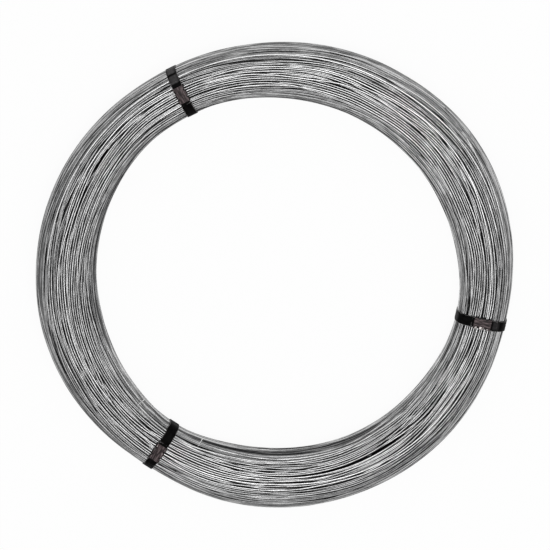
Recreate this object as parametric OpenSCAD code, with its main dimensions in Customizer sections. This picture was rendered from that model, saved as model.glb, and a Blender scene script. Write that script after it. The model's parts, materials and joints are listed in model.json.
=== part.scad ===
// Coil of galvanized wire held by three steel straps, lying flat on the floor.
// All sizes are in millimetres. The coil's axis is Z and the coil rests on z = 0.

/* [Coil] */
// Inside diameter of the coil
coil_bore_d = 540; // [450:5:650]
// Build of the bundle of turns, from the bore to the outside
coil_build = 94; // [84:1:120]
// Height of the coil lying flat
coil_h = 66; // [58:1:90]
// Corner radius of the bundle's section
bundle_corner_r = 22; // [18:1:26]
// Diameter of the wire
wire_d = 3.15; // [2:0.05:5]
// Spacing of neighbouring turns as a share of the wire's diameter
turn_pitch_share = 0.95; // [0.88:0.01:0.97]

/* [Straps] */
// Width of the strap
strap_w = 16; // [12:1:20]
// Thickness of the strap
strap_t = 0.8; // [0.5:0.1:1.2]
// How far a strap pulls the bundle in at the bore and at the outside
strap_squeeze = 8; // [4:0.5:9]
// Bend radius of the bundle under a strap
strap_bend_r = 16; // [12:1:20]
// Clear space between a strap and the turns under it
strap_gap = 0.2; // [0.1:0.05:0.4]
// Direction of the first strap round the coil, in degrees
strap_1_angle = 116.5; // [105:0.5:128]
// Direction of the second strap round the coil, in degrees
strap_2_angle = 236.5; // [225:0.5:250]
// Direction of the third strap round the coil, in degrees
strap_3_angle = 347.5; // [335:0.5:359]
// Length of the strap's end beyond the seal, towards the outside
strap_tail_out = 10; // [4:0.5:12]
// Length of the strap's end beyond the seal, towards the bore
strap_tail_in = 4; // [2:0.5:8]

/* [Seals] */
// Length of a seal along its strap
seal_l = 26; // [18:1:30]
// Thickness of the seal's sheet
seal_t = 0.9; // [0.6:0.1:1.2]
// Clear space between a seal and the strap inside it
seal_gap = 0.15; // [0.1:0.05:0.3]
// How far the top of a seal lies below the top turns
seal_drop = 0.15; // [0.1:0.05:1]
// Width of the open joint under a seal
seal_slit = 5; // [3:0.5:8]
// Length of a crimped notch in the seal's edge
notch_l = 3; // [2:0.5:4]
// Depth of a crimped notch into the seal's edge
notch_deep = 1.8; // [1.2:0.1:2.4]
// Distance of the notches from the middle of a seal as a share of its length
notch_place_share = 0.22; // [0.18:0.01:0.3]
// Distance of the first strap's seal from the middle of the bundle
seal_1_shift = 1; // [-6:0.5:6]
// Distance of the second strap's seal from the middle of the bundle
seal_2_shift = 7; // [-6:0.5:8]
// Distance of the third strap's seal from the middle of the bundle
seal_3_shift = 2; // [-6:0.5:6]

/* [Tie wires] */
// Diameter of the thin wire that ties the innermost turns
tie_d = 1.2; // [0.8:0.1:1.6]
// Clear space between a tie and the turns
tie_gap = 0.2; // [0.1:0.05:0.3]
// Radius of a tie's bends as a share of the tie's own radius
tie_bend_share = 1.06; // [1.02:0.01:1.2]
// Length of a tie's straight end inside the bundle
tie_leg = 8; // [5:0.5:10]
// Where a tie starts on the bundle's inner corner, in degrees from upright
tie_from = 21; // [20:1:30]
// Where a tie stops on the bundle's inner corner, in degrees from upright
tie_to = 60; // [45:1:64]
// Angle from the second strap back to the first tie
tie_1_before = 13; // [8:0.5:20]
// Angle from the second strap on to the second tie
tie_2_after = 9.5; // [6:0.5:20]

/* [Hidden] */
$fn = 96;
quarter_turn = 90;

// Main radii and heights of the bundle
wire_r = wire_d / 2;
bore_r = coil_bore_d / 2;
rim_r = bore_r + coil_build;
middle_r = bore_r + coil_build / 2;
middle_z = coil_h / 2;

// Turns that show on the two ends: how many lie on a flat and on a corner
end_flat = coil_build - 2 * bundle_corner_r;
corner_path_r = bundle_corner_r - wire_r;
turn_pitch = wire_d * turn_pitch_share;
turn_sides = 8;
side_turn = 360 / turn_sides;
turn_out_r = wire_r / cos(side_turn / 2);
flat_turns = ceil(end_flat / turn_pitch);
corner_turns = ceil(corner_path_r * PI / 2 / turn_pitch);

// What lies under the top turns at a strap, from the top down
strap_layers = 2 * strap_t;
strap_sink = seal_drop + seal_t + seal_gap + strap_layers + strap_gap;
strap_under = coil_h - strap_sink + strap_gap;
seal_in_w = strap_w + 2 * seal_gap;
seal_out_w = seal_in_w + 2 * seal_t;
seal_in_h = strap_layers + 2 * seal_gap;
seal_out_h = seal_in_h + 2 * seal_t;
seal_under = strap_under - seal_gap - seal_t;
seat_w = seal_out_w + 2 * strap_gap;
seat_reach = strap_squeeze + wire_d;

// Line of a tie over the inner corner
tie_r = tie_d / 2;
tie_run_r = bundle_corner_r + tie_gap + tie_r;
tie_start = quarter_turn + tie_from;
tie_sweep = tie_to - tie_from;

strap_angles = [strap_1_angle, strap_2_angle, strap_3_angle];
seal_shifts = [seal_1_shift, seal_2_shift, seal_3_shift];
tie_angles = [strap_2_angle - tie_1_before, strap_2_angle + tie_2_after];

// Section of the bundle drawn in by in_x at the sides and in_z at the ends
module bundle_outline(in_x, in_z, corner_r) {
    w = coil_build - 2 * in_x;
    h = coil_h - 2 * in_z;
    translate([middle_r, middle_z]) {
        square([w, h - 2 * corner_r], center = true);
        square([w - 2 * corner_r, h], center = true);
        for (sx = [-1, 1])
            for (sz = [-1, 1])
                translate([sx * (w / 2 - corner_r), sz * (h / 2 - corner_r)])
                    circle(corner_r);
    }
}

// Puts a section drawn as radius and height into the radial plane at an angle
module at_angle(angle) {
    rotate([0, 0, angle])
        rotate([quarter_turn, 0, 0])
            children();
}

// One cut wire, as a figure of equal sides with one of them square to a direction
module cut_wire(direction) {
    rotate([0, 0, direction - quarter_turn])
        polygon([for (i = [0.5:turn_sides]) turn_out_r * [cos(i * side_turn), sin(i * side_turn)]]);
}

// Cut wires of the turns along the upper end, over both corners
module end_turns() {
    flat_z = coil_h - wire_r;
    for (j = [0:flat_turns - 1])
        translate([middle_r - end_flat / 2 + (j + 0.5) * end_flat / flat_turns, flat_z])
            cut_wire(quarter_turn);
    for (side = [-1, 1])
        for (i = [0:corner_turns - 1]) {
            a = (i + 0.5) * quarter_turn / corner_turns;
            x = end_flat / 2 + corner_path_r * cos(a);
            z = coil_h - bundle_corner_r + corner_path_r * sin(a);
            translate([middle_r + side * x, z])
                cut_wire(quarter_turn + side * (a - quarter_turn));
        }
}

// Half section of the coil: solid inside, plain at the walls, turns on both ends
module coil_section() {
    bundle_outline(wire_r, wire_r, corner_path_r);
    translate([bore_r, bundle_corner_r])
        square([coil_build, coil_h - 2 * bundle_corner_r]);
    end_turns();
    translate([0, coil_h])
        mirror([0, 1])
            end_turns();
}

// Band of the strap round the drawn-in bundle, grown outwards by grow
module strap_outline(grow) {
    bundle_outline(strap_squeeze - grow, strap_sink - grow, strap_bend_r + grow);
}

// Room that a strap and its seal take out of the coil
module strap_seat(k) {
    at_angle(strap_angles[k]) {
        linear_extrude(height = seat_w, center = true)
            difference() {
                translate([bore_r - seat_reach, -seat_reach])
                    square([coil_build + 2 * seat_reach, coil_h + 2 * seat_reach]);
                strap_outline(0);
            }
        pocket_l = seal_l + 2 * strap_gap;
        translate([middle_r + seal_shifts[k] - pocket_l / 2, seal_under - strap_gap, -seat_w / 2])
            cube([pocket_l, coil_h, seat_w]);
    }
}

// Holes for the two ends of a tie
module tie_holes(k) {
    tie_frame(k)
        for (end = [0, 1])
            tie_leg_place(end)
                translate([0, 0, -tie_d])
                    cylinder(r = tie_r + tie_gap, h = tie_d + tie_leg + tie_gap);
}

// Places a tie's parts at the centre of the bundle's inner upper corner
module tie_frame(k) {
    at_angle(tie_angles[k])
        translate([bore_r + bundle_corner_r, coil_h - bundle_corner_r])
            children();
}

// Axis of a tie's straight end, pointing into the bundle
module tie_leg_place(end) {
    rotate([0, 0, tie_start + end * tie_sweep])
        translate([tie_run_r, 0])
            rotate([0, -quarter_turn, 0])
                children();
}

module wire_coil() {
    color("Silver")
        difference() {
            rotate_extrude()
                coil_section();
            for (k = [0:2])
                strap_seat(k);
            for (k = [0:1])
                tie_holes(k);
        }
}

module strap(k) {
    tail_l = seal_l + strap_tail_in + strap_tail_out;
    tail_from = middle_r + seal_shifts[k] - seal_l / 2 - strap_tail_in;
    color("DimGray")
        at_angle(strap_angles[k])
            linear_extrude(height = strap_w, center = true) {
                difference() {
                    strap_outline(strap_gap + strap_t);
                    strap_outline(strap_gap);
                }
                translate([tail_from, strap_under + strap_t])
                    square([tail_l, strap_t]);
            }
}

module seal(k) {
    color("RosyBrown")
        at_angle(strap_angles[k])
            translate([middle_r + seal_shifts[k], seal_under])
                difference() {
                    seal_box(seal_l, seal_out_w, seal_out_h, 0);
                    seal_box(seal_l + seal_t, seal_in_w, seal_in_h, seal_t);
                    seal_box(seal_l + seal_t, seal_slit, 2 * seal_t, -seal_t / 2);
                    for (side = [-1, 1])
                        for (place = [-1, 1])
                            translate([place * notch_place_share * seal_l, 0, side * seal_out_w / 2])
                                seal_box(notch_l, 2 * notch_deep, seal_out_h + 2 * seal_t, -seal_t);
                }
}

// Block of a given length along the strap, width across it and height, from a level up
module seal_box(length, width, height, level) {
    translate([-length / 2, level, -width / 2])
        cube([length, height, width]);
}

module tie_wire(k) {
    color("WhiteSmoke")
        tie_frame(k) {
            rotate([0, 0, tie_start])
                rotate_extrude(angle = tie_sweep)
                    translate([tie_run_r, 0])
                        circle(tie_r);
            for (end = [0, 1])
                tie_leg_place(end) {
                    cylinder(r = tie_r, h = tie_leg);
                    sphere(tie_r * tie_bend_share);
                }
        }
}

wire_coil();
for (k = [0:2]) strap(k);
for (k = [0:2]) seal(k);
for (k = [0:1]) tie_wire(k);
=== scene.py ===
"""Looks of the coil of galvanized wire: stretches of wire laid over each other, straps, seals and ties."""

import json
import math

import bpy
import numpy as np
from mathutils import Matrix, Vector


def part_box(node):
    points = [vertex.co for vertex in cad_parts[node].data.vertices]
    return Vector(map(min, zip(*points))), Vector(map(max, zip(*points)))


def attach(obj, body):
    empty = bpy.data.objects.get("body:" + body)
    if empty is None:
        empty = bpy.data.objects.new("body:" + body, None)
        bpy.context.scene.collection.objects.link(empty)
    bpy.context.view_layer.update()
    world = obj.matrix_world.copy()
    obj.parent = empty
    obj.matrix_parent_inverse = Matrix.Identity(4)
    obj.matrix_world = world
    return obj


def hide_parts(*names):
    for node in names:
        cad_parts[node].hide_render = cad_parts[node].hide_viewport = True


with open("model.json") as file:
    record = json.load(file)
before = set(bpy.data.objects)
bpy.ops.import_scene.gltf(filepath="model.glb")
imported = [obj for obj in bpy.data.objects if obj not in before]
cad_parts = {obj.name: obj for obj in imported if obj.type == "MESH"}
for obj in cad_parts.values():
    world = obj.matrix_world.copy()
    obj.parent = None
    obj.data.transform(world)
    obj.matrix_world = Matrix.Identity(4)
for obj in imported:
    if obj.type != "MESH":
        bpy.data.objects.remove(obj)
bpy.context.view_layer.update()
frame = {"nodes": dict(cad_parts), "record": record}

MM = 0.001
DEG = math.pi / 180
QUARTER = math.pi / 2
TURN = 2 * math.pi

# Places along one turn of wire, and places round the bundle's section where heights are kept
STATIONS = 216
BINS = 480
STEP = TURN / STATIONS
SEED = 20261
rng = np.random.default_rng(SEED)

WIRE_D = 3.15 * MM
WIRE_R = WIRE_D / 2
STRAP_T = 0.8 * MM

STRAPS = ("strap_1", "strap_2", "strap_3")
SEALS = ("seal_1", "seal_2", "seal_3")
TIES = ("tie_wire_1", "tie_wire_2")

# Sizes of the bundle, from the frame
coil_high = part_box("wire_coil")[1]
BORE_R = next(m for m in frame["record"]["mounts"] if m["name"] == "bore")["dims"]["r_mm"] * MM
RIM_R = coil_high.x
COIL_H = coil_high.z
MIDDLE_R = (BORE_R + RIM_R) / 2
MIDDLE_Z = COIL_H / 2

# Half sizes and corner radius of the bundle's section, far from the straps and under them
FREE_HALF = ((RIM_R - BORE_R) / 2, COIL_H / 2)
FREE_CORNER = 30 * MM
STRAP_CORNER = 23 * MM

# How much deeper than in CAD the straps bite at the bore and at the rim, and their room over the turns
STRAP_BITE = 1.2 * MM
STRAP_CLEAR = 0.1 * MM

# How far round the coil each strap draws the bundle in, in degrees before and after the strap
DRAW_SPREAD = {"strap_1": (26, 30), "strap_2": (17, 15), "strap_3": (24, 18)}
DRAW_POWER = 2.4


def node_points(name):
    """All points of a CAD node."""
    vertices = frame["nodes"][name].data.vertices
    flat = np.empty(3 * len(vertices))
    vertices.foreach_get("co", flat)
    return flat.reshape(-1, 3)


def node_angle(name):
    """Direction round the coil in which a CAD node lies."""
    low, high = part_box(name)
    middle = (low + high) / 2
    return math.atan2(middle.y, middle.x)


def directions(angle):
    """The outward, sideways and upward directions at an angle round the coil."""
    outward = (math.cos(angle), math.sin(angle), 0)
    sideways = (-math.sin(angle), math.cos(angle), 0)
    return np.array([outward, sideways, (0, 0, 1)])


def node_extent(name):
    """Lowest and highest reach of a CAD node along its own radius, across it and upwards."""
    local = node_points(name) @ directions(node_angle(name)).T
    return local.min(0), local.max(0)


STRAP_ANGLES = {name: node_angle(name) for name in STRAPS}
strap_low, strap_high = node_extent(STRAPS[0])
STRAP_W = strap_high[1] - strap_low[1]
STRAP_HALF = (
    (strap_high[0] - strap_low[0]) / 2 - STRAP_T / 2 - STRAP_BITE,
    MIDDLE_Z - strap_low[2] - STRAP_T / 2,
)
UNDER_STRAP = STRAP_T / 2 + STRAP_CLEAR
PRESSED_HALF = (STRAP_HALF[0] - UNDER_STRAP, STRAP_HALF[1] - UNDER_STRAP)


def turned(angle):
    """An angle brought between minus and plus half a turn."""
    return (angle + math.pi) % TURN - math.pi


def near_strap(theta, spread):
    """1 at a strap, falling off over an angle."""
    near = np.zeros_like(theta)
    for angle in STRAP_ANGLES.values():
        near = np.maximum(near, np.exp(-(turned(theta - angle) / spread) ** 2))
    return near


def draw_in(theta):
    """1 under a strap, falling slowly to 0 midway between straps."""
    drawn = np.zeros_like(theta)
    for name in STRAPS:
        away = turned(theta - STRAP_ANGLES[name])
        before, after = (v * DEG for v in DRAW_SPREAD[name])
        spread = np.where(away < 0, before, after)
        drawn = np.maximum(drawn, 1 / (1 + np.abs(away / spread) ** DRAW_POWER))
    return drawn


# Where the bundle lies unevenly between straps: direction and spread in degrees, and by how many
# millimetres its bore wall and its outer wall stand further out
UNEVEN = ((35, 17, 0, 3.8), (88, 17, 0, -2.0), (132, 16, 2.0, 0), (192, 18, -1.2, 1.0), (298, 24, 3.4, 0))
EVEN_AT_STRAP = 10 * DEG


def uneven(theta):
    """How far the bore wall and the outer wall stand out of round at an angle."""
    walls = np.zeros((2, *np.shape(theta)))
    free = 1 - near_strap(theta, EVEN_AT_STRAP)
    for direction, spread, at_bore, at_rim in UNEVEN:
        near = np.exp(-(turned(theta - direction * DEG) / (spread * DEG)) ** 2)
        walls += np.multiply.outer((at_bore * MM, at_rim * MM), near * free)
    return walls


def section_sizes(theta):
    """Half width, half height and corner radius of the bundle's section at an angle."""
    drawn = draw_in(theta)
    at_bore, at_rim = uneven(theta)
    half_w = FREE_HALF[0] + (PRESSED_HALF[0] - FREE_HALF[0]) * drawn + (at_rim - at_bore) / 2
    half_h = FREE_HALF[1] + (PRESSED_HALF[1] - FREE_HALF[1]) * drawn
    corner = FREE_CORNER + (STRAP_CORNER - FREE_CORNER) * drawn
    return half_w, half_h, corner


def perimeter(half_w, half_h, corner):
    """Length of the way round a section."""
    return 4 * (half_w + half_h - 2 * corner) + TURN * corner


def outline(share, half_w, half_h, corner):
    """Point and outward normal at a share of the way round a section, from the bore's middle upwards."""
    wall = half_h - corner
    flat = half_w - corner
    arc = corner * QUARTER
    s = (share % 1) * perimeter(half_w, half_h, corner)
    ends = np.cumsum([wall, arc, 2 * flat, arc, 2 * wall, arc, 2 * flat, arc], axis=0)
    leg = [s < end for end in ends]
    bend = [(s - ends[k]) / corner for k in (0, 2, 4, 6)]
    zero = np.zeros_like(s)
    turns = [
        zero + math.pi, math.pi - bend[0], zero + QUARTER, QUARTER - bend[1],
        zero, -bend[2], zero - QUARTER, -QUARTER - bend[3],
    ]
    turn = np.select(leg, turns, -math.pi)
    over, down, back, up = s - ends[1], s - ends[3], s - ends[5], s - ends[7]
    mid_x = np.select(leg[:7], [-flat, -flat, over - flat, flat, flat, flat, flat - back], -flat)
    mid_z = np.select(leg, [s, wall, wall, wall, wall - down, -wall, -wall, -wall], up - wall)
    nx, nz = np.cos(turn), np.sin(turn)
    return mid_x + corner * nx, mid_z + corner * nz, nx, nz


# Places over the upper half of the section between which a radius is looked up
TOP_PROBES = 400


def share_on_top(radius, theta):
    """Share of the way round the section at which its upper side has a radius."""
    shares = np.linspace(0, 0.5, TOP_PROBES)
    sizes = [np.full_like(shares, s) for s in section_sizes(np.array(theta))]
    middle = MIDDLE_R + uneven(np.array(theta)).mean()
    return np.interp(radius - middle, outline(shares, *sizes)[0], shares)


def share_away(share, other):
    """The short way from one share of the section's round to another."""
    return (share - other + 0.5) % 1 - 0.5


station_theta = np.arange(STATIONS) * STEP
station_sizes = section_sizes(station_theta)
station_perimeter = perimeter(*station_sizes)
station_middle = MIDDLE_R + uneven(station_theta).mean(0)

# Heights at which a new run of wire would rest, over the stations and round the section
rest = np.zeros((STATIONS, BINS))


def looked_up(field, station, share):
    """Value of a field over stations and bins at a share of the way round the section."""
    place = (share % 1) * BINS
    low = np.floor(place).astype(int)
    part = place - low
    return field[station, low % BINS] * (1 - part) + field[station, (low + 1) % BINS] * part


def smooth(values, soft):
    """Values along a run, smoothed by so many steps."""
    wide = int(3 * soft)
    kernel = np.exp(-0.5 * (np.arange(-wide, wide + 1) / soft) ** 2)
    return np.convolve(np.pad(values, wide, mode="edge"), kernel / kernel.sum(), "valid")


def settle(height, reach, soft):
    """A stiff wire bridges hollows: the highest points nearby, smoothed along the wire."""
    padded = np.pad(height, reach, mode="edge")
    high = np.lib.stride_tricks.sliding_window_view(padded, 2 * reach + 1).max(1)
    return smooth(high, soft)


def lay(station, share, height):
    """Raises the resting heights where a run of wire now lies."""
    first = np.round(share * BINS).astype(int)
    reach = int(math.ceil(WIRE_D * BINS / station_perimeter.min())) + 1
    for step in range(-reach, reach + 1):
        aside = ((first + step) / BINS - share) * station_perimeter[station]
        over = np.sqrt(np.maximum(WIRE_D**2 - aside**2, 0))
        new = np.where(over > 0, height + over, 0)
        np.maximum.at(rest, (station, (first + step) % BINS), new)


# Sideways path of a band of runs: its swing, and its waves in a turn with their share of the swing
SWING = 3.2 * MM
SWING_WAVES = ((1, 1.0), (2, 0.9), (3, 0.6), (4, 0.4), (6, 0.2))

# Waves of random length that make up a drift along a run
DRIFT_WAVES = 9


def wander(theta):
    """A smooth sideways path that closes on itself after a turn."""
    path = np.zeros_like(theta)
    for wave, size in SWING_WAVES:
        path += SWING * size * rng.normal() * np.sin(wave * theta + rng.uniform(0, TURN))
    return path


def drift(steps, shortest, longest, size):
    """A smooth random path along a run, made of waves between two lengths in degrees."""
    path = np.zeros(len(steps))
    for _ in range(DRIFT_WAVES):
        length = math.exp(rng.uniform(math.log(shortest), math.log(longest))) * DEG
        path += np.sin(steps * STEP * TURN / length + rng.uniform(0, TURN))
    return size * math.sqrt(2 / DRIFT_WAVES) * path


# Lanes that turns keep clear of: the angles they start and end at in degrees, and in millimetres
# their radius on top and how far from their middle a wire's centre is pushed
LANES = (
    (184, 292, 287, 2.1),
    (262, 316, 310, 2.1),
    (328, 362, 292, 2.0),
    (45, 61, 324, 1.9),
    (37, 55, 350, 1.9),
    (36, 58, 281, 1.9),
)
LANE_POWER = 1.5
LANE_CROSSED = 3 * MM

# Short lanes strewn between the straps: half their angle in degrees and their push in millimetres
SMALL_LANES = 60
SMALL_LANE_HALF = (4, 11)
SMALL_LANE_PUSH = (0.5, 1.0)
LANE_FREE_SPREAD = 10 * DEG
LANE_FREE_MOST = 0.2


def make_lanes():
    """The middle angle, half angle, share and push of the named lanes and of the short ones."""
    lanes = []
    for start, stop, radius, push in LANES:
        middle = (start * DEG + stop * DEG) / 2
        half_angle = (stop * DEG - start * DEG) / 2
        lanes.append((middle, half_angle, share_on_top(radius * MM, middle), push * MM))
    while len(lanes) < len(LANES) + SMALL_LANES:
        middle = rng.uniform(0, TURN)
        if near_strap(np.array(middle), LANE_FREE_SPREAD) < LANE_FREE_MOST:
            half_angle = rng.uniform(*SMALL_LANE_HALF) * DEG
            lanes.append((middle, half_angle, rng.uniform(), rng.uniform(*SMALL_LANE_PUSH) * MM))
    return lanes


lanes = make_lanes()


def keep_lanes_clear(first, steps, share):
    """Moves a run aside wherever it would lie in a lane."""
    room = station_perimeter[(first + steps) % STATIONS]
    for middle, half_angle, lane_share, push in lanes:
        passing = int(round(middle / STEP - first)) % STATIONS
        while passing < len(steps):
            away = share_away(share, lane_share)
            side = 1 if away[passing] > 0 else -1
            window = np.exp(-np.abs((steps - passing) * STEP / half_angle) ** 4)
            gap = side * away * room
            clear = (np.abs(gap) ** LANE_POWER + push**LANE_POWER) ** (1 / LANE_POWER)
            crossing = np.exp(np.minimum(gap, 0) / LANE_CROSSED)
            share = share + window * side * (clear - gap) * crossing / room
            passing += STATIONS
    return share


# How a run slips sideways into the hollows beside it: rounds, distance probed, step, stiffness and
# the steepest slope that counts
SLIPS = 14
SLIP_PROBE = 0.8 * MM
SLIP_STEP = 0.4 * MM
SLIP_STIFF = 2.2
SLIP_STEEPEST = 1.5


def nestled(station, share):
    """A run's path after it has slipped down the slopes beside it, as far as its stiffness lets it."""
    room = station_perimeter[station]
    slip = np.zeros_like(share)
    for _ in range(SLIPS):
        above = looked_up(rest, station, share + slip + SLIP_PROBE / room)
        below = looked_up(rest, station, share + slip - SLIP_PROBE / room)
        slope = np.clip((above - below) / (2 * SLIP_PROBE), -SLIP_STEEPEST, SLIP_STEEPEST)
        slip = smooth(slip - SLIP_STEP * slope / room, SLIP_STIFF)
    return share + slip


# How a wire bridges the hollows under it, in steps, and how its ends dive under its neighbours
BRIDGE_REACH = 2
BRIDGE_SOFT = 2
DIVE_STEPS = 16
DIVE_DEPTH = 1.6 * WIRE_D

# Bands of runs laid side by side: their spacing, and the shortest and longest wave in degrees and
# the size of their drift as a band and of the sway of each run
RUN_PITCH = (1.0 * WIRE_D, 1.24 * WIRE_D)
BAND_DRIFT = (24, 90, 0.8 * MM)
RUN_SWAY = (20, 80, 0.12 * MM)

# How ragged the ends of a band are in steps, how a strap holds it and what an uneven bed counts
RAGGED = 40
STRAP_HOLD = 0.8
STRAP_HOLD_SPREAD = 9 * DEG
UNEVEN_COST = 0.5


def dive(steps):
    """How deep a run lies under its neighbours so many steps from its end."""
    return DIVE_DEPTH * np.clip(1 - steps / DIVE_STEPS, 0, 1) ** 2


def add_run(steps, station, share, from_end, sides):
    """Lays one stretch of wire on what lies under it."""
    height = settle(looked_up(rest, station, share), BRIDGE_REACH, BRIDGE_SOFT) - dive(from_end)
    lay(station, share, height)
    runs.append({"steps": steps, "station": station, "share": share, "height": height, "sides": sides})


def add_band(turns, count, tries, sides):
    """Lays some stretches of wire side by side along the lowest of several paths."""
    steps = np.arange(int(turns * STATIONS))
    places = np.cumsum(rng.uniform(*RUN_PITCH, count))
    width = places[-1]
    places = places - places.mean()
    best = None
    for _ in range(tries):
        first = int(rng.integers(STATIONS))
        station = (first + steps) % STATIONS
        theta = station_theta[station]
        room = station_perimeter[station]
        loose = 1 - STRAP_HOLD * near_strap(theta, STRAP_HOLD_SPREAD)
        aside = (steps / STATIONS) * width + drift(steps, *BAND_DRIFT) * loose
        share = nestled(station, rng.uniform() + (wander(theta) + aside) / room)
        height = looked_up(rest, station, share + places[:, None] / room)
        score = height.mean() + UNEVEN_COST * height.std()
        if best is None or score < best[0]:
            best = (score, first, share, room)
    _, first, share, room = best
    for place in places:
        start, stop = rng.integers(0, RAGGED, 2)
        path = share + (place + drift(steps, *RUN_SWAY)) / room
        path = path[start:len(steps) - stop]
        own = np.arange(len(path))
        path = keep_lanes_clear(first + start, own, path)
        from_end = np.minimum(own, own[::-1])
        add_run(own, (first + start + own) % STATIONS, path, from_end, sides)


# Turns laid: under the surface, in sight, and one by one in the last hollows
HIDDEN_TURNS = 80
ALL_TURNS = 250
SINGLE_TURNS = 60
BAND_TURNS = (0.7, 1.8)
BAND_COUNT = (2, 7)

# Paths tried for a band, and sides of a wire, under the surface and in sight
HIDDEN_TRIES, SEEN_TRIES = 20, 60
HIDDEN_SIDES, SEEN_SIDES = 6, 8

# One end of the wire shows on the outside, where the last turn was cut
END_ANGLE = 177 * DEG
END_RADIUS = 347 * MM
END_TURN = 0.45
END_DRIFT = (60, 160, 0.8 * MM)


def wind_coil():
    """Lays all bands of runs, the hidden ones first."""
    laid = 0
    while laid < ALL_TURNS:
        hidden = laid < HIDDEN_TURNS
        count = 1 if laid > ALL_TURNS - SINGLE_TURNS else int(rng.integers(*BAND_COUNT))
        turns = rng.uniform(*BAND_TURNS)
        if hidden:
            add_band(turns, count, HIDDEN_TRIES, HIDDEN_SIDES)
        else:
            add_band(turns, count, SEEN_TRIES, SEEN_SIDES)
        laid += turns * count


def cut_end():
    """The last stretch of wire, which lies on top and ends in a cut."""
    steps = np.arange(int(END_TURN * STATIONS))
    first = int(round(END_ANGLE / STEP)) - steps[-1]
    station = (first + steps) % STATIONS
    share = share_on_top(END_RADIUS, END_ANGLE) + drift(steps, *END_DRIFT) / station_perimeter[station]
    add_run(steps, station, share, steps, SEEN_SIDES)


runs = []
wind_coil()
cut_end()


def blurred(field, along, across):
    """A field over stations and bins, smoothed by so many of each."""
    a = np.exp(-2 * (math.pi * along * np.fft.fftfreq(field.shape[0])) ** 2)
    b = np.exp(-2 * (math.pi * across * np.fft.fftfreq(field.shape[1])) ** 2)
    return np.fft.ifft2(np.fft.fft2(field) * a[:, None] * b[None, :]).real


CREST_BLUR = (1.5, 1.5)


def crests(field, steps):
    """The highest values within some steps of each place round the section, smoothed."""
    for step in steps:
        field = np.maximum(field, np.maximum(np.roll(field, step, 1), np.roll(field, -step, 1)))
    return blurred(field, *CREST_BLUR)


# The level of the laid wires that is brought to the section's outline is their mean, raised a little,
# or their crests at a strap
PROUD = 1.9 * MM
LEVEL_BLUR = (6, 24)
STRAP_CRESTS = (1, 2, 4, 6)
CREST_SPREAD = 6 * DEG

# Turns give way under the lower lips of a seal, over an angle and a width
SEAL_DENT = 1.1 * MM
DENT_ANGLE = 4 * DEG
DENT_HALF = 18 * MM


def outline_level(surface):
    """Height over the stations and bins that is brought to the section's outline."""
    mean_level = blurred(surface, *LEVEL_BLUR) + PROUD
    at_strap = near_strap(station_theta, CREST_SPREAD)[:, None]
    level = mean_level + (crests(surface, STRAP_CRESTS) - mean_level) * at_strap
    bin_share = np.arange(BINS) / BINS
    for name in SEALS:
        low, high = node_extent(name)
        angle = node_angle(name)
        share = share_on_top((low[0] + high[0]) / 2, angle)
        aside = share_away(bin_share, share)[None, :] * station_perimeter[:, None]
        away = turned(station_theta - angle)[:, None]
        level = level + SEAL_DENT * np.exp(-(away / DENT_ANGLE) ** 4 - (aside / DENT_HALF) ** 4)
    return level


surface = rest - WIRE_R
level = outline_level(surface)


def section_point(station, share, depth):
    """Points above the section's outline by a depth, and the outward direction there."""
    x, z, nx, nz = outline(share, *[s[station] for s in station_sizes])
    r = station_middle[station] + x + nx * depth
    theta = station_theta[station]
    points = np.stack([r * np.cos(theta), r * np.sin(theta), MIDDLE_Z + z + nz * depth], 1)
    normals = np.stack([nx * np.cos(theta), nx * np.sin(theta), nz], 1)
    return points, normals


# The outermost turns are pressed level, to a share of their depth.
# Turns on the ends that lie deeper than the first layer keep more of it.
FLATTEN = 0.23
LAYER_EDGE = 1.8 * MM
LAYER_KEPT = 0.28
SOFT_CAP = 0.3 * MM


def upright(station, share):
    """1 on the ends of the bundle, falling to 0 on its walls."""
    return outline(share, *[s[station] for s in station_sizes])[3] ** 2


def above_zero(value):
    """A value cut off softly below zero."""
    return SOFT_CAP * np.log1p(np.exp(value / SOFT_CAP))


def pressed(station, share, top):
    """Depth under the section's outline of a wire whose top was laid at a height."""
    sunk = looked_up(level, station, share) - top
    kept = LAYER_KEPT * upright(station, share)
    depth = above_zero(FLATTEN * sunk) + kept * above_zero(sunk - LAYER_EDGE)
    return np.minimum(depth, station_sizes[2][station] - 2 * WIRE_D)


def wire_points(run):
    """Centre line of a run in the frame, and the bundle's outward direction along it."""
    station, share = run["station"], run["share"]
    return section_point(station, share, -WIRE_R - pressed(station, share, run["height"] + WIRE_R))


def unit(v):
    """Vectors brought to a length of 1."""
    return v / np.linalg.norm(v, axis=-1, keepdims=True)


# Four-sided faces that close the end of a tube, by its number of sides
CAPS = {6: ((0, 1, 2, 3), (0, 3, 4, 5)), 8: ((0, 1, 2, 3), (0, 3, 4, 7), (4, 5, 6, 7))}


def tube(points, normals, radius, sides):
    """Vertices and faces of a closed tube along a line, and the vertices' places on the straight wire."""
    tangent = unit(np.gradient(points, axis=0))
    aside = unit(np.cross(tangent, normals))
    up = np.cross(aside, tangent)
    a = np.arange(sides) * TURN / sides
    ring = np.cos(a)[None, :, None] * up[:, None] + np.sin(a)[None, :, None] * aside[:, None]
    verts = (points[:, None] + radius * ring).reshape(-1, 3)
    k = np.arange(len(points) - 1)[:, None] * sides
    j = np.arange(sides)[None, :]
    n = (j + 1) % sides
    quads = np.stack([k + j, k + sides + j, k + sides + n, k + n], -1).reshape(-1, 4)
    last = (len(points) - 1) * sides
    caps = list(CAPS[sides]) + [tuple(last + i for i in reversed(c)) for c in CAPS[sides]]
    gone = np.linalg.norm(np.diff(points, axis=0), axis=1)
    along = np.repeat(np.concatenate([[0], np.cumsum(gone)]), sides)
    round_x = np.tile(radius * np.cos(a), len(points))
    round_y = np.tile(radius * np.sin(a), len(points))
    return verts, np.concatenate([quads, np.array(caps)]), np.stack([along, round_x, round_y], 1)


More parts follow.
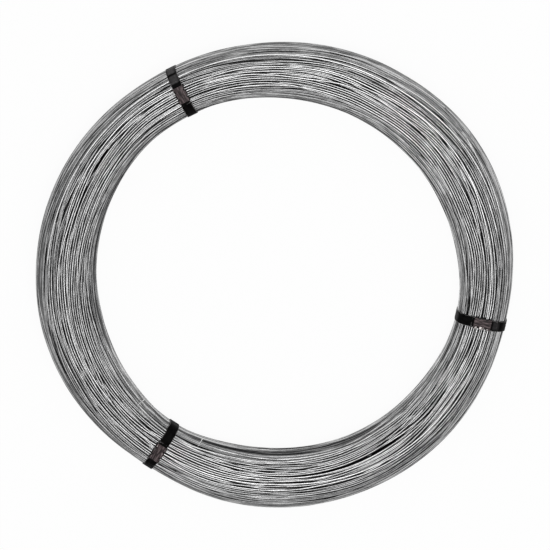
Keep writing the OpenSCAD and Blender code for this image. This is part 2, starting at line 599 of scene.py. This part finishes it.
def mesh_object(name, verts, faces, material, sharp=None):
    """A smooth mesh with one material, with sharp edges above an angle where one is given."""
    mesh = bpy.data.meshes.new(name)
    mesh.from_pydata(verts, [], faces)
    mesh.polygons.foreach_set("use_smooth", np.ones(len(mesh.polygons), bool))
    if sharp is not None:
        mesh.set_sharp_from_angle(angle=sharp)
    mesh.materials.append(material)
    obj = bpy.data.objects.new(name, mesh)
    bpy.context.scene.collection.objects.link(obj)
    return obj


def point_value(obj, name, values):
    """Stores a number or a vector for each vertex of a mesh."""
    values = np.asarray(values, np.float32)
    if values.ndim == 1:
        obj.data.attributes.new(name, "FLOAT", "POINT").data.foreach_set("value", values)
    else:
        obj.data.attributes.new(name, "FLOAT_VECTOR", "POINT").data.foreach_set("vector", values.ravel())


class Shader:
    """A new node material, with short calls to add nodes and link them."""

    def __init__(self, name):
        self.material = bpy.data.materials.new(name)
        self.material.use_nodes = True
        self.tree = self.material.node_tree
        self.surface = self.tree.nodes["Principled BSDF"]

    def node(self, kind, inputs=(), **settings):
        node = self.tree.nodes.new("ShaderNode" + kind)
        for key, value in settings.items():
            setattr(node, key, value)
        for key, value in dict(inputs).items():
            self.put(node.inputs[key], value)
        return node

    def put(self, socket, value):
        if isinstance(value, bpy.types.NodeSocket):
            self.tree.links.new(value, socket)
        else:
            socket.default_value = value

    def attribute(self, name, output):
        return self.node("Attribute", attribute_name=name).outputs[output]

    def mapped(self, vector, scale, rotation=(0, 0, 0)):
        return self.node("Mapping", {"Vector": vector, "Scale": scale, "Rotation": rotation}).outputs[0]

    def noise(self, vector, scale, detail=2.0, rough=0.5):
        inputs = {"Vector": vector, "Scale": scale, "Detail": detail, "Roughness": rough}
        return self.node("TexNoise", inputs).outputs["Fac"]

    def spread(self, value, low, high, to_low, to_high):
        inputs = {"Value": value, "From Min": low, "From Max": high, "To Min": to_low, "To Max": to_high}
        return self.node("MapRange", inputs).outputs[0]

    def math(self, operation, a, b):
        return self.node("Math", {0: a, 1: b}, operation=operation).outputs[0]

    def ramp(self, value, *stops):
        node = self.node("ValToRGB", {"Fac": value})
        elements = node.color_ramp.elements
        while len(elements) < len(stops):
            elements.new(0.5)
        for element, (place, color) in zip(elements, stops):
            element.position = place
            element.color = (*color, 1)
        return node.outputs["Color"]

    def mix(self, part, a, b):
        node = self.node("Mix", data_type="RGBA")
        self.put(node.inputs["Factor"], part)
        self.put(node.inputs["A"], a)
        self.put(node.inputs["B"], b)
        return node.outputs["Result"]

    def bump(self, height, strength, distance):
        inputs = {"Height": height, "Strength": strength, "Distance": distance}
        self.put(self.surface.inputs["Normal"], self.node("Bump", inputs).outputs[0])

    def finish(self, **inputs):
        for key, value in inputs.items():
            self.put(self.surface.inputs[key.replace("_", " ").title().replace("Ior", "IOR")], value)
        return self.material


def wire_material():
    """Zinc coat: a tone for each stretch of wire, cloudy along it, and painted shade that turns it black in
    the hollows.
    """
    dull, plain, bright = (0.22, 0.221, 0.222), (0.51, 0.511, 0.512), (0.92, 0.921, 0.922)
    hollow_shade_black = (0.012, 0.012, 0.013, 1)
    shader = Shader("galvanized_wire")
    place = shader.attribute("wire_place", "Vector")
    tone = shader.attribute("wire_tone", "Fac")
    clouds = shader.noise(shader.mapped(place, (110, 400, 400)), 1.0, 4.0, 0.65)
    lines = shader.noise(shader.mapped(place, (30, 2600, 2600)), 1.0, 2.0)
    tone = shader.math("ADD", tone, shader.spread(clouds, 0.3, 0.7, -0.3, 0.3))
    zinc = shader.ramp(tone, (0.0, dull), (0.5, plain), (1.0, bright))
    # Painted shade draws the zinc towards black in the hollows, on the wires' flanks and in streaks on the
    # walls
    hollow = shader.attribute("wire_painted_shade", "Fac")
    color = shader.mix(shader.spread(hollow, 0.04, 0.38, 0.0, 0.98), zinc, hollow_shade_black)
    rough = shader.spread(clouds, 0.3, 0.7, 0.26, 0.44)
    shader.bump(lines, 0.25, 0.05 * MM)
    return shader.finish(base_color=color, metallic=1.0, roughness=rough)


def strap_material():
    """Black lacquer on steel strip, dull, with painted sheen in grey patches on its upper side, and grey
    steel at the edges.
    """
    black, brown_black = (0.0002, 0.0002, 0.0002), (0.004, 0.0038, 0.0038)
    sheen_grey, bare_steel = (0.07, 0.068, 0.069, 1), (0.16, 0.155, 0.155, 1)
    shader = Shader("strap_black")
    place = shader.attribute("strap_place", "Vector")
    wear = shader.attribute("strap_wear", "Fac")
    sheen_amount = shader.attribute("strap_sheen", "Fac")
    cloud = shader.noise(shader.mapped(place, (90, 160, 160)), 1.0, 4.0, 0.6)
    grain = shader.noise(shader.mapped(place, (120, 1500, 1500)), 1.0, 3.0)
    worn = shader.spread(shader.math("ADD", wear, cloud), 1.02, 1.3, 0.0, 1.0)
    lacquer = shader.ramp(cloud, (0.35, black), (0.7, brown_black))
    # Painted sheen: grey patches on the lacquer that stand for light on its bends
    rub_and_sheen = shader.math("MULTIPLY", sheen_amount, shader.spread(cloud, 0.3, 0.7, 0.6, 1.3))
    color = shader.mix(rub_and_sheen, lacquer, sheen_grey)
    color = shader.mix(worn, color, bare_steel)
    rough = shader.spread(cloud, 0.3, 0.7, 0.4, 0.6)
    shader.bump(grain, 0.2, 0.08 * MM)
    metal = shader.spread(worn, 0, 1, 0.0, 0.9)
    return shader.finish(base_color=color, metallic=metal, roughness=rough, specular_ior_level=0.02)


def seal_material():
    """Brownish grey sheet steel, with painted shade black along its folds and in its crimps, and scratched
    bright where the crimping tool bit.
    """
    dark, middle, pale = (0.006, 0.0035, 0.004), (0.036, 0.025, 0.026), (0.13, 0.1, 0.102)
    stain, fold_shade_black, bare_steel = (0.03, 0.02, 0.021, 1), (0.001, 0.0008, 0.0008, 1), (0.62, 0.58, 0.56, 1)
    shader = Shader("seal_brown")
    place = shader.attribute("seal_place", "Vector")
    wear = shader.attribute("seal_wear", "Fac")
    cloud = shader.noise(shader.mapped(place, (260, 260, 260)), 1.0, 4.0, 0.6)
    scratch = shader.noise(shader.mapped(place, (90, 620, 620), (0, 0, 35 * DEG)), 1.0, 2.0, 0.6)
    worn = shader.spread(shader.math("ADD", wear, scratch), 1.0, 1.2, 0.0, 1.0)
    paint = shader.ramp(scratch, (0.4, dark), (0.5, middle), (0.62, pale))
    paint = shader.mix(shader.spread(cloud, 0.35, 0.7, 0.0, 0.5), paint, stain)
    paint = shader.mix(shader.attribute("seal_shade", "Fac"), paint, fold_shade_black)
    color = shader.mix(worn, paint, bare_steel)
    shader.bump(scratch, 0.3, 0.1 * MM)
    rough = shader.spread(cloud, 0.3, 0.7, 0.35, 0.55)
    metal = shader.spread(worn, 0, 1, 0.0, 1.0)
    return shader.finish(base_color=color, metallic=metal, roughness=rough, specular_ior_level=0.15)


def dressed(obj, slot, *nodes):
    """Makes a mesh stand for CAD nodes on the part's one body."""
    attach(obj, "root")
    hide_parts(*nodes)


# Wires are joined into pieces that stay light enough, and drawn a little thinner than they are laid
MOST_FACES = 90000
DRAWN_R = WIRE_R * 0.99
wire = wire_material()

# Tones of the wires: the middle one, how each run differs, the shortest and longest wave in degrees
# and the size of the changes along it, how much more of both the walls show as painted light and shade,
# and the painted highlight that makes the cut end brighter
MIDDLE_TONE = 0.5
RUN_TONE = 0.14
TONE_DRIFT = (5, 40, 0.08)
WALL_TONE = 3.2
END_HIGHLIGHT = 0.7

# Painted highlight: a patch on the outer shoulder where the zinc is drawn brighter
PATCH_ANGLE = 187 * DEG
PATCH_SPREAD = 5 * DEG
PATCH_RADIUS = 349 * MM
PATCH_HALF = 4 * MM
HIGHLIGHT_BRIGHTER = 0.9


def run_tone(run):
    """Tone along a run: its own, with slow changes along it, and the painted highlight patch."""
    station = run["station"]
    # Painted light and shade: tones swing more on the walls, where turns face the light differently
    more = WALL_TONE - (WALL_TONE - 1) * upright(station, run["share"])
    places = section_point(station, run["share"], 0)[0]
    away = turned(station_theta[station] - PATCH_ANGLE) / PATCH_SPREAD
    aside = (np.hypot(places[:, 0], places[:, 1]) - PATCH_RADIUS) / PATCH_HALF
    highlight = HIGHLIGHT_BRIGHTER * np.exp(-(away**2) - aside**2)
    return MIDDLE_TONE + (rng.normal(0, RUN_TONE) + drift(run["steps"], *TONE_DRIFT)) * more + highlight


# Share of a turn's depth below its neighbours that counts as painted shade, and share of the painted
# shade on a wire's flanks that is left on the walls
LAYER_SHADE = 0.015
SHADE_CRESTS = (1, 2)
WALL_FLANK = 0.5
crest = crests(surface, SHADE_CRESTS)

# Streaks of painted shade along the walls, as if groups of turns lay deeper, more at the bore than at the
# rim
BORE_SHADE = 0.2
RIM_SHADE = 0.07
WALL_EDGE = 0.5
STREAK_BLUR = (8, 3)
STREAK_MEAN = 0.4
STREAK_SWING = 0.9
STREAK_MOST = 1.6
streaks = blurred(rng.normal(size=(STATIONS, BINS)), *STREAK_BLUR)
streaks = np.clip(STREAK_MEAN + STREAK_SWING * streaks / streaks.std(), 0, STREAK_MOST)


def hollowness(run, place):
    """Painted shade: how deep each vertex of a run lies in the shade of the crests beside it, in wire radii.
    """
    station = np.repeat(run["station"], run["sides"])
    share = np.repeat(run["share"], run["sides"]) + place[:, 2] / station_perimeter[station]
    height = np.repeat(run["height"], run["sides"]) + WIRE_R
    below = LAYER_SHADE * np.maximum(looked_up(crest, station, share) - height, 0)
    end = upright(station, share)
    # Painted shade on each wire's flanks, less of it on the walls
    flank = (WIRE_R - place[:, 1]) * (WALL_FLANK + (1 - WALL_FLANK) * end)
    # Painted streaks of shade on the walls, stronger at the bore than at the rim
    streak = looked_up(streaks, station, share) * np.clip(1 - end / WALL_EDGE, 0, 1)
    wall_shade = np.where(np.cos(TURN * share) > 0, BORE_SHADE, RIM_SHADE)
    return (below + flank) / WIRE_R + wall_shade * streak


def add_wires(number, members):
    """One joined mesh of several runs."""
    verts, faces, places, tones, hollows = [], [], [], [], []
    count = 0
    for index in members:
        run = runs[index]
        v, f, place = tube(*wire_points(run), DRAWN_R, run["sides"])
        hollows.append(hollowness(run, place))
        place[:, 0] += index
        verts.append(v)
        faces.append(f + count)
        places.append(place)
        tones.append(np.repeat(run["tone"], run["sides"]))
        count += len(v)
    obj = mesh_object(f"wire_turns_{number}", np.concatenate(verts), np.concatenate(faces), wire)
    point_value(obj, "wire_place", np.concatenate(places))
    point_value(obj, "wire_tone", np.concatenate(tones))
    point_value(obj, "wire_painted_shade", np.concatenate(hollows))
    dressed(obj, "galvanized_wire", "wire_coil")


def add_coil():
    """All runs with their tones, in meshes of as many as they may hold."""
    for run in runs:
        run["tone"] = run_tone(run)
    # Painted highlight along the cut end
    runs[-1]["tone"] = runs[-1]["tone"] + END_HIGHLIGHT
    group, faces_in_group, number = [], 0, 1
    for index, run in enumerate(runs):
        faces = len(run["steps"]) * run["sides"]
        if group and faces_in_group + faces > MOST_FACES:
            add_wires(number, group)
            group, faces_in_group, number = [], 0, number + 1
        group.append(index)
        faces_in_group += faces
    add_wires(number, group)


add_coil()

# Straps are steel strip bent from crest to crest: where a strip starts round the section, how far apart
# its bends are, and how far it stands off at the corners and at random
STRIP_START = 0.25
KNOT_SPACE = (6 * MM, 13 * MM)
CORNER_PROUD = 0.35 * MM
KNOT_ROUGH = 0.08 * MM

# From which product of its normal's two parts a bend counts as on a corner
BENT_LEAST = 0.001

# How often the bends are cut off, and at which share of the way to the next one
CORNER_CUTS = 2
CUT_SHARE = 0.25

# Bevel along the strip's edges, and the angle above which edges of a strap or seal are sharp
STRAP_EDGE = 0.3 * MM
SHARP_ANGLE = 40 * DEG

# Bare steel on a strap's edges and cut ends
EDGE_WEAR_POWER = 12
CUT_WEAR = 0.6


def strap_path():
    """Points along a strip once round the section, with flats between its bends."""
    sizes = (*STRAP_HALF, STRAP_CORNER)
    room = perimeter(*sizes)
    knots = [STRIP_START]
    while knots[-1] < STRIP_START + 1:
        knots.append(knots[-1] + rng.uniform(*KNOT_SPACE) / room)
    knots = STRIP_START + (np.array(knots) - STRIP_START) / (knots[-1] - STRIP_START)
    x, z, nx, nz = outline(knots, *[np.full_like(knots, v) for v in sizes])
    at_corner = np.abs(nx * nz) > BENT_LEAST
    out = np.where(at_corner, CORNER_PROUD, 0.0) + rng.normal(0, KNOT_ROUGH, len(knots))
    return np.stack([x + nx * out, z + nz * out], 1)[:-1]


def cut_corners(points):
    """Rounds the bends of a closed line by cutting its corners."""
    for _ in range(CORNER_CUTS):
        after = np.roll(points, -1, 0)
        leaving = (1 - CUT_SHARE) * points + CUT_SHARE * after
        nearing = CUT_SHARE * points + (1 - CUT_SHARE) * after
        points = np.stack([leaving, nearing], 1).reshape(-1, 2)
    return points


def strip(line, angle, closed):
    """Vertices and faces of a strip of steel along a line in a radial plane, with their place and wear."""
    if closed:
        slope = np.roll(line, -1, 0) - np.roll(line, 1, 0)
    else:
        slope = np.gradient(line, axis=0)
    slope = unit(slope)
    normal = np.stack([-slope[:, 1], slope[:, 0]], 1)
    w, t, e = STRAP_W / 2, STRAP_T / 2, STRAP_EDGE
    half = [(-w, e - t), (e - w, -t), (-w / 2, -t), (0, -t), (w / 2, -t), (w - e, -t), (w, e - t)]
    profile = np.array(half + [(a, -b) for a, b in reversed(half)])
    outward, sideways, up = directions(angle)
    flat = line[:, None] + normal[:, None] * profile[None, :, 1:]
    verts = (MIDDLE_R + flat[..., :1]) * outward + (MIDDLE_Z + flat[..., 1:]) * up
    verts = verts + profile[None, :, :1] * sideways
    rows, count = len(line), len(profile)
    k = np.arange(rows if closed else rows - 1)[:, None]
    j = np.arange(count)[None, :]
    n = (j + 1) % count
    m = (k + 1) % rows
    faces = np.stack([k * count + j, k * count + n, m * count + n, m * count + j], -1).reshape(-1, 4)
    wear = np.repeat((np.abs(profile[None, :, 0]) / w) ** EDGE_WEAR_POWER, rows, 0)
    if not closed:
        start = np.array([(i, count - 1 - i, count - 2 - i, i + 1) for i in range(count // 2 - 1)])
        faces = np.concatenate([faces, start, (start + (rows - 1) * count)[:, ::-1]])
        wear[[0, -1]] = CUT_WEAR
    gone = np.concatenate([[0], np.cumsum(np.linalg.norm(np.diff(line, axis=0), axis=1))])
    place = np.stack(np.broadcast_arrays(gone[:, None], profile[None, :, 0], profile[None, :, 1]), -1)
    return verts.reshape(-1, 3), faces, place.reshape(-1, 3), wear.ravel()


# The strip's upper end laps over the lower one and passes the seal towards the bore and the rim
TAIL_IN = 4 * MM
TAIL_OUT = 9 * MM
LAP_GAP = 0.03 * MM
LAP_POINTS = 24

# Stretches of the upper side where painted sheen turns the lacquer grey: from and to which radius, and how
# much
PAINTED_SHEEN = {
    "strap_1": ((337 * MM, 349 * MM, 0.75), (351 * MM, 360 * MM, 1.0)),
    "strap_2": ((330 * MM, 336 * MM, 0.25),),
    "strap_3": ((270 * MM, 282 * MM, 0.5), (335 * MM, 345 * MM, 0.3)),
}
SHEEN_EDGE = 1 * MM
SHEEN_LEAST = 0.01
SHEEN_SIDE_POWER = 6


def painted_sheen(name, verts, place):
    """Painted sheen: how grey the lacquer is drawn at each vertex of a strap, less so at its edges."""
    radius = np.hypot(verts[:, 0], verts[:, 1])
    amount = np.full(len(verts), SHEEN_LEAST)
    for start, stop, most in PAINTED_SHEEN[name]:
        inside = np.minimum((radius - start) / SHEEN_EDGE, (stop - radius) / SHEEN_EDGE)
        amount = np.maximum(amount, most * np.clip(inside, 0, 1) * (verts[:, 2] > MIDDLE_Z))
    return amount * (1 - (np.abs(place[:, 1]) / (STRAP_W / 2)) ** SHEEN_SIDE_POWER)


black = strap_material()


def add_strap(name, seal):
    """A strap as a band round the bundle and the lapped end that lies on it under the seal."""
    angle = STRAP_ANGLES[name]
    low, high = node_extent(seal)
    band = cut_corners(strap_path())
    lap_x = np.linspace(low[0] - TAIL_IN, high[0] + TAIL_OUT, LAP_POINTS) - MIDDLE_R
    top = band[band[:, 1] > 0]
    top = top[np.argsort(top[:, 0])]
    lap = np.stack([lap_x, np.interp(lap_x, top[:, 0], top[:, 1]) + STRAP_T + LAP_GAP], 1)
    parts = [strip(band, angle, True), strip(lap, angle, False)]
    verts, places, wear = (np.concatenate([p[i] for p in parts]) for i in (0, 2, 3))
    faces = np.concatenate([parts[0][1], parts[1][1] + len(parts[0][0])])
    obj = mesh_object(f"{name}_strip", verts, faces, black, SHARP_ANGLE)
    point_value(obj, "strap_place", places)
    point_value(obj, "strap_wear", wear)
    # Painted sheen on the upper side of the lacquer
    point_value(obj, "strap_sheen", painted_sheen(name, verts, places))
    dressed(obj, "strap_steel", name)


# Seals are a sheet sleeve folded round both ends of the strap
SEAL_SLIT = 5 * MM
SEAL_T = 0.9 * MM
SEAL_FOLD = 1.1 * MM
SEAL_ROWS = 61
FOLD_POINTS = 5
TOP_SHARES = (0.8, 0.6, 0.4, 0.2)

# Crimps squeeze the edges of a seal: their place as a share of its length, their length and depth, from
# which share of its half width they reach, how they fade and what share of their depth its top sinks
CRIMP_SHARE = 0.22
CRIMP_LENGTH = 3.4 * MM
CRIMP_DEEP = 1.5 * MM
CRIMP_FROM_SHARE = 0.45
CRIMP_POWER = 1.5
CRIMP_SINK_SHARE = 0.35

# Scratches beside the crimps: how bright on the two edges of each seal, how far along it and from which
# share of its half width, and how much of them is left on the half towards the rim
CRIMP_WEAR = {"seal_1": (0.35, 0.35), "seal_2": (0.5, 0.4), "seal_3": (0.75, 0.35)}
CRIMP_RUBBED = 6 * MM
RUBBED_FROM_SHARE = 0.55
RUBBED_OUTSIDE = 0.75

# Wear at the cut ends of a seal, and the shares of its half width where painted shade turns its folds
# and crimps black
SEAL_END_WEAR = 0.3
SEAL_END_REACH = 1.2 * MM
FOLD_SHADE_SHARES = (0.84, 0.94)
CRIMP_SHADE_SHARE = 0.72
brown = seal_material()


def seal_section(half_w, height):
    """Outer line of the folded sheet, from one lip under the strap round to the other."""
    fold = [(math.sin(a), math.cos(a)) for a in np.linspace(0, QUARTER, FOLD_POINTS)]
    right = [(SEAL_SLIT / 2, 0), ((SEAL_SLIT / 2 + half_w) / 2, 0)]
    right += [(half_w - SEAL_FOLD * (1 - s), SEAL_FOLD * (1 - c)) for s, c in fold]
    right += [(half_w - SEAL_FOLD * (1 - c), height - SEAL_FOLD * (1 - s)) for s, c in fold]
    right += [(half_w * part, height) for part in TOP_SHARES]
    return np.array(right + [(0, height)] + [(-a, b) for a, b in reversed(right)])


def inset(line, thickness):
    """The line moved inwards by the sheet's thickness."""
    slope = unit(np.gradient(line, axis=0))
    return line + thickness * np.stack([-slope[:, 1], slope[:, 0]], 1)


def crimp_marks(along, length, reach):
    """1 at the crimps along a seal, falling to 0 at a distance."""
    return sum(np.exp(-((along - side * CRIMP_SHARE * length) / reach) ** 4) for side in (-1, 1))


def seal_faces(rows, count):
    """Faces of a folded sheet of so many rows and points in a row: outside, inside, lips and ends."""
    total = rows * count
    k = np.arange(rows - 1)[:, None] * count
    j = np.arange(count - 1)[None, :]
    sheet = np.stack([k + j, k + j + 1, k + count + j + 1, k + count + j], -1).reshape(-1, 4)
    a = np.arange(rows - 1) * count
    lip = np.stack([a, a + count, a + count + total, a + total], 1)
    other_lip = (lip + count - 1)[:, ::-1]
    b = np.arange(count - 1)
    end = np.stack([b, b + total, b + 1 + total, b + 1], 1)
    other_end = (end + (rows - 1) * count)[:, ::-1]
    return np.concatenate([sheet, sheet[:, ::-1] + total, lip, other_lip, end, other_end])


def add_seal(name):
    """A seal as one folded sheet, squeezed and scratched at its crimps."""
    angle = node_angle(name)
    low, high = node_extent(name)
    length, width, height = high - low
    middle = (low + high) / 2
    along = np.linspace(-0.5, 0.5, SEAL_ROWS)[:, None] * length
    bite, rub_and_sheen = (crimp_marks(along, length, reach) for reach in (CRIMP_LENGTH / 2, CRIMP_RUBBED))
    beside = rub_and_sheen * (1 - bite) * np.where(along < 0, 1.0, RUBBED_OUTSIDE)
    end_wear = SEAL_END_WEAR * np.exp(-(0.5 * length - np.abs(along)) / SEAL_END_REACH)
    outward, sideways, up = directions(angle)
    outer = seal_section(width / 2, height)
    verts, places, wears, shades = [], [], [], []
    for sheet in (outer, inset(outer, SEAL_T)):
        x, z = sheet.T
        edge = np.abs(x) / (width / 2)
        reached = np.clip((edge - CRIMP_FROM_SHARE) / (1 - CRIMP_FROM_SHARE), 0, 1)
        squeeze = CRIMP_DEEP * bite * reached**CRIMP_POWER
        w = x - np.sign(x) * squeeze
        h = z - CRIMP_SINK_SHARE * squeeze * (z > height / 2)
        point = (middle[0] + along[..., None]) * outward + w[..., None] * sideways
        point = point + (low[2] + h[..., None]) * up
        place = np.stack(np.broadcast_arrays(along + angle, w, h), -1)
        scratched = beside * np.where(x < 0, *CRIMP_WEAR[name]) * (edge > RUBBED_FROM_SHARE)
        # Painted shade along the folds and in the crimps
        fold = np.clip((edge - FOLD_SHADE_SHARES[0]) / np.diff(FOLD_SHADE_SHARES), 0, 1)
        verts.append(point.reshape(-1, 3))
        places.append(place.reshape(-1, 3))
        wears.append(np.maximum(scratched, end_wear).ravel())
        shades.append(np.maximum(fold, bite * (edge > CRIMP_SHADE_SHARE)).ravel())
    faces = seal_faces(SEAL_ROWS, len(outer))
    obj = mesh_object(f"{name}_sleeve", np.concatenate(verts), faces, brown, SHARP_ANGLE)
    point_value(obj, "seal_place", np.concatenate(places))
    point_value(obj, "seal_wear", np.concatenate(wears))
    point_value(obj, "seal_shade", np.concatenate(shades))
    dressed(obj, "seal_steel", name)


for strap, seal in zip(STRAPS, SEALS):
    add_strap(strap, seal)
    add_seal(seal)

# Ties are thin wire round the innermost turns, between two radii on top, a little aslant
TIE_R = 0.6 * MM
TIE_RADII = (277 * MM, 286.5 * MM)
TIE_SLANT = -0.65 * DEG
TIE_POINTS = 60
TIE_SIDES = 8
TIE_TONE = 0.95

# How a tie bridges the hollows between turns, and how its ends dive, in points and in depth
TIE_REACH = 4
TIE_SOFT = 2
TIE_DIVE_POINTS = 6
TIE_DIVE = 5 * MM


def add_tie(name):
    """A tie over the innermost turns, with both ends under them."""
    angle = node_angle(name)
    number = int(round(angle / STEP)) % STATIONS
    shares = np.linspace(*(share_on_top(radius, angle) for radius in TIE_RADII), TIE_POINTS)
    station = np.full(TIE_POINTS, number)
    depth = -pressed(station, shares, looked_up(rest, station, shares) - WIRE_R)
    depth = settle(depth, TIE_REACH, TIE_SOFT) + TIE_R
    steps = np.arange(TIE_POINTS)
    ends = np.clip(1 - np.minimum(steps, steps[::-1]) / TIE_DIVE_POINTS, 0, 1) ** 2
    points, normals = section_point(station, shares, depth - TIE_DIVE * ends)
    aside = turned(angle - station_theta[number]) + TIE_SLANT * np.linspace(-0.5, 0.5, TIE_POINTS)
    points[:, :2] += aside[:, None] * points[:, 1::-1] * (-1, 1)
    verts, faces, place = tube(points, normals, TIE_R, TIE_SIDES)
    obj = mesh_object(f"{name}_loop", verts, faces, wire)
    place[:, 0] += angle
    point_value(obj, "wire_place", place)
    point_value(obj, "wire_tone", np.full(len(verts), TIE_TONE))
    dressed(obj, "tie_wire", name)


for name in TIES:
    add_tie(name)

# Floor of pale paper: half its width in metres, its colour in the light and the share of white added to it
FLOOR_HALF = 8
FLOOR_GREY = (0.86, 0.86, 0.86, 1)
FLOOR_WHITE_SHARE = 0.94
WHITE = (1, 1, 1, 1)

# Even light from all round
WORLD_STRENGTH = 0.6


def floor_material():
    """Paper that shows nearly white to the camera and in reflections, and keeps the shadow."""
    shader = Shader("floor")
    shader.finish(base_color=FLOOR_GREY, roughness=0.9)
    rays = shader.node("LightPath")
    seen = shader.math("MAXIMUM", rays.outputs["Is Camera Ray"], rays.outputs["Is Glossy Ray"])
    seen = shader.math("MAXIMUM", seen, rays.outputs["Is Transmission Ray"])
    glow = shader.node("Emission", {"Color": WHITE, "Strength": 1.0})
    paper = shader.node("MixShader", {0: shader.math("MULTIPLY", seen, FLOOR_WHITE_SHARE)})
    shader.put(paper.inputs[1], shader.surface.outputs[0])
    shader.put(paper.inputs[2], glow.outputs[0])
    shader.put(shader.tree.nodes["Material Output"].inputs["Surface"], paper.outputs[0])
    return shader.material


corners = [(x * FLOOR_HALF, y * FLOOR_HALF, 0) for x, y in ((-1, -1), (1, -1), (1, 1), (-1, 1))]
floor = mesh_object("floor", corners, [(0, 1, 2, 3)], floor_material())

world = bpy.data.worlds.new("studio")
bpy.context.scene.world = world
world.use_nodes = True
world.node_tree.nodes["Background"].inputs["Color"].default_value = WHITE
world.node_tree.nodes["Background"].inputs["Strength"].default_value = WORLD_STRENGTH

# One large soft lamp high above the coil, aimed at its middle: place and size in metres, power in watts
LAMP_PLACE = (0.4, 0.2, 5.0)
LAMP_SIZE = 2.6
LAMP_POWER = 104
lamp_data = bpy.data.lights.new("softbox", "AREA")
lamp_data.size = LAMP_SIZE
lamp_data.energy = LAMP_POWER
lamp = bpy.data.objects.new("softbox", lamp_data)
lamp.location = LAMP_PLACE
lamp.rotation_mode = "QUATERNION"
lamp.rotation_quaternion = (-Vector(LAMP_PLACE)).to_track_quat("-Z", "Y")
bpy.context.scene.collection.objects.link(lamp)

# Camera above the coil and a little towards the top of the picture
TILT = 13.5 * DEG
DISTANCE = 12.0
PIXEL = 1.51 * MM
FRAME_PIXELS = 550
SENSOR = 36
AIM_PIXELS = (-1.0, -0.4)
camera_data = bpy.data.cameras.new("camera")
camera_data.sensor_width = SENSOR
camera_data.lens = SENSOR * DISTANCE / (FRAME_PIXELS * PIXEL)
camera = bpy.data.objects.new("camera", camera_data)
bpy.context.scene.collection.objects.link(camera)
right = Vector((1, 0, 0))
up = Vector((0, math.cos(TILT), -math.sin(TILT)))
back = Vector((0, math.sin(TILT), math.cos(TILT)))
aim = Vector((0, 0, MIDDLE_Z)) + AIM_PIXELS[0] * PIXEL * right + AIM_PIXELS[1] * PIXEL * up
facing = Matrix((right, up, back)).transposed().to_4x4()
camera.matrix_world = Matrix.Translation(aim + back * DISTANCE) @ facing
bpy.context.scene.camera = camera

bpy.context.scene.view_settings.view_transform = "Standard"
